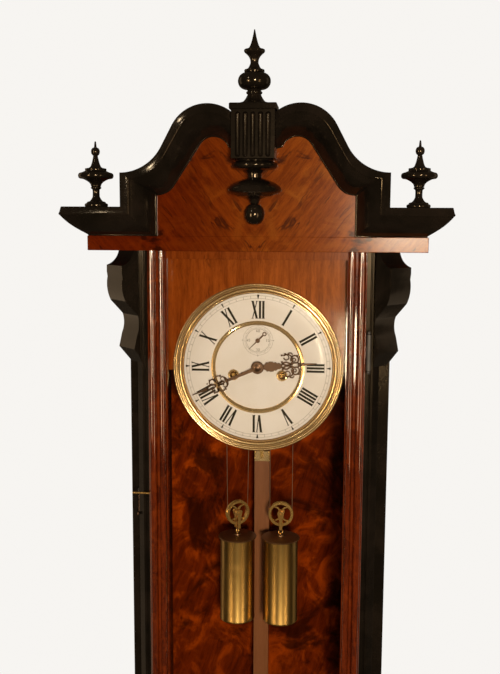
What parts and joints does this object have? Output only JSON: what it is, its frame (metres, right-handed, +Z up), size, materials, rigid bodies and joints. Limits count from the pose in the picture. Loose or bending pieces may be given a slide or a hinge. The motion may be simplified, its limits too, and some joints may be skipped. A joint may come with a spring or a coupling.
{
  "type": "vienna regulator clock",
  "caption": "Weight-driven wall clock in a glazed ebonised and walnut case with swan-neck pediment, enamel dial and wooden-rod pendulum.",
  "frame": {"origin": "centre of the wall hanger's hole, on the flat back of the case", "axes": "+Z up, +X to the viewer's right when facing the dial, +Y into the wall"},
  "size_m": [0.415, 0.2097, 1.197],
  "materials": {
    "ebonised_wood": "gloss",
    "walnut_veneer": "satin gloss",
    "mask_wood": "satin gloss",
    "mahogany": "gloss",
    "burl_veneer": "satin gloss",
    "brass": "polished",
    "bezel_brass": "polished",
    "steel": "brushed",
    "iron": "painted",
    "enamel": "glossy",
    "glass": "clear",
    "hand_bronze": "patinated",
    "pendulum_wood": "satin",
    "gut": "matte"
  },
  "bodies": {
    "root": {"backboard": "burl_veneer", "hanger_plate": "steel", "side_frames": "ebonised_wood", "side_glasses": "glass", "case_boards": "burl_veneer", "front_posts": "ebonised_wood", "dial_mask": "mask_wood", "frieze": "walnut_veneer", "pediment_panel": "walnut_veneer", "cornice_moulding": "ebonised_wood", "fluted_block": "ebonised_wood", "middle_finial": "ebonised_wood", "pendant": "ebonised_wood", "side_finials": "ebonised_wood", "corbels": "ebonised_wood", "base_moulding": "ebonised_wood", "base_apron": "ebonised_wood", "drop_finials": "ebonised_wood", "beat_plate": "enamel", "hinge_pins": "brass", "movement_bracket": "iron", "gong_post": "brass", "gong_coil": "steel", "back_plate": "brass", "front_plate": "brass", "pillars": "brass", "dial_plate": "bezel_brass", "chapter_ring": "enamel", "bezel": "bezel_brass", "going_line": "gut", "strike_line": "gut"},
    "door": {"door_frame": "mahogany", "door_top_rail": "mask_wood", "door_glass": "glass", "door_hinges": "brass"},
    "door_hook": {"door_hook": "brass"},
    "centre": {"centre_arbor": "brass", "minute_hand": "hand_bronze"},
    "hour": {"hour_wheel": "brass", "hour_hand": "hand_bronze"},
    "minute_wheel": {"minute_wheel": "brass"},
    "third_wheel": {"third_wheel": "brass"},
    "escape_wheel": {"escape_wheel": "brass", "seconds_hand": "hand_bronze"},
    "going_great_wheel": {"going_great_wheel": "brass"},
    "warning_wheel": {"warning_wheel": "brass"},
    "pin_wheel": {"pin_wheel": "brass"},
    "strike_great_wheel": {"strike_train_great": "brass"},
    "fly": {"fly": "brass"},
    "hammer": {"hammer": "steel"},
    "pendulum": {"pendulum_rod": "pendulum_wood", "pendulum_fittings": "brass", "pendulum_bob": "brass"},
    "anchor": {"anchor": "steel"},
    "going_weight": {"going_weight": "brass"},
    "strike_weight": {"strike_weight": "brass"},
    "going_drum": {"going_drum": "brass"},
    "strike_drum": {"strike_drum": "brass"},
    "going_pulley": {"going_pulley": "brass"},
    "strike_pulley": {"strike_pulley": "brass"}
  },
  "joints": [
    {"name": "door_swing", "type": "hinge", "parent": "root", "child": "door", "pos_m": [0.1249, -0.1573, -0.5], "axis": [0, 0, 1], "range_deg": [0, 95]},
    {"name": "hook_turn", "type": "hinge", "parent": "root", "child": "door_hook", "pos_m": [-0.1378, -0.129, -0.355], "axis": [1, 0, 0], "range_deg": [-80, 0]},
    {"name": "minute_turn", "type": "hinge", "parent": "root", "child": "centre", "pos_m": [0, -0.09, -0.205], "axis": [0, 1, 0], "continuous": true},
    {"name": "hour_turn", "type": "hinge", "parent": "root", "child": "hour", "pos_m": [0, -0.09, -0.205], "axis": [0, 1, 0], "continuous": true},
    {"name": "minute_wheel_turn", "type": "hinge", "parent": "root", "child": "minute_wheel", "pos_m": [0, -0.09, -0.223], "axis": [0, 1, 0], "continuous": true},
    {"name": "third_turn", "type": "hinge", "parent": "root", "child": "third_wheel", "pos_m": [-0.01096, -0.09, -0.18593], "axis": [0, 1, 0], "continuous": true},
    {"name": "escape_turn", "type": "hinge", "parent": "root", "child": "escape_wheel", "pos_m": [0, -0.09, -0.174], "axis": [0, 1, 0], "continuous": true},
    {"name": "going_great_turn", "type": "hinge", "parent": "root", "child": "going_great_wheel", "pos_m": [-0.028, -0.09, -0.2145], "axis": [0, 1, 0], "continuous": true},
    {"name": "warning_turn", "type": "hinge", "parent": "root", "child": "warning_wheel", "pos_m": [0.024, -0.09, -0.17372], "axis": [0, 1, 0], "continuous": true},
    {"name": "pin_wheel_turn", "type": "hinge", "parent": "root", "child": "pin_wheel", "pos_m": [0.034, -0.09, -0.18869], "axis": [0, 1, 0], "continuous": true},
    {"name": "strike_great_turn", "type": "hinge", "parent": "root", "child": "strike_great_wheel", "pos_m": [0.028, -0.09, -0.2145], "axis": [0, 1, 0], "continuous": true},
    {"name": "fly_turn", "type": "hinge", "parent": "root", "child": "fly", "pos_m": [0.03, -0.09, -0.16152], "axis": [0, 1, 0], "continuous": true},
    {"name": "hammer_lift", "type": "hinge", "parent": "root", "child": "hammer", "pos_m": [0.048, -0.09, -0.16999], "axis": [0, 1, 0], "range_deg": [-8, 0]},
    {"name": "pendulum_swing", "type": "hinge", "parent": "root", "child": "pendulum", "pos_m": [0, -0.048, -0.153], "axis": [0, 1, 0], "range_deg": [-2, 2]},
    {"name": "anchor_rock", "type": "hinge", "parent": "root", "child": "anchor", "pos_m": [0, -0.048, -0.153], "axis": [0, 1, 0], "range_deg": [-2, 2]},
    {"name": "going_weight_fall", "type": "slide", "parent": "root", "child": "going_weight", "axis": [0, 0, 1], "range_m": [-0.3, 0.06], "deforming": ["going_line"]},
    {"name": "going_drum_turn", "type": "hinge", "parent": "root", "child": "going_drum", "pos_m": [-0.028, -0.09, -0.2145], "axis": [0, 1, 0], "range_deg": [-2870, 580]},
    {"name": "going_pulley_turn", "type": "hinge", "parent": "going_weight", "child": "going_pulley", "pos_m": [-0.0265, -0.0905, -0.391], "axis": [-0.5299, 0.848, 0], "range_deg": [-1275, 256]},
    {"name": "strike_weight_fall", "type": "slide", "parent": "root", "child": "strike_weight", "axis": [0, 0, 1], "range_m": [-0.3, 0.06], "deforming": ["strike_line"]},
    {"name": "strike_drum_turn", "type": "hinge", "parent": "root", "child": "strike_drum", "pos_m": [0.028, -0.09, -0.2145], "axis": [0, 1, 0], "range_deg": [-580, 2870]},
    {"name": "strike_pulley_turn", "type": "hinge", "parent": "strike_weight", "child": "strike_pulley", "pos_m": [0.0265, -0.0905, -0.391], "axis": [0, 1, 0], "range_deg": [-256, 1275]}
  ],
  "couplings": [
    {"joint": "minute_turn", "follows": "escape_turn", "ratio": 0.0125},
    {"joint": "hour_turn", "follows": "escape_turn", "ratio": 0.0010417},
    {"joint": "minute_wheel_turn", "follows": "escape_turn", "ratio": -0.0041667},
    {"joint": "third_turn", "follows": "escape_turn", "ratio": -0.125},
    {"joint": "going_great_turn", "follows": "escape_turn", "ratio": -0.00083333},
    {"joint": "warning_turn", "follows": "fly_turn", "ratio": -0.13333},
    {"joint": "pin_wheel_turn", "follows": "fly_turn", "ratio": 0.014815},
    {"joint": "strike_great_turn", "follows": "fly_turn", "ratio": -0.0015432},
    {"joint": "anchor_rock", "follows": "pendulum_swing", "ratio": 1},
    {"joint": "going_drum_turn", "follows": "going_weight_fall", "rad_per_m": 166.67},
    {"joint": "going_pulley_turn", "follows": "going_weight_fall", "rad_per_m": 74.074},
    {"joint": "strike_drum_turn", "follows": "strike_weight_fall", "rad_per_m": -166.67},
    {"joint": "strike_pulley_turn", "follows": "strike_weight_fall", "rad_per_m": -74.074}
  ]
}
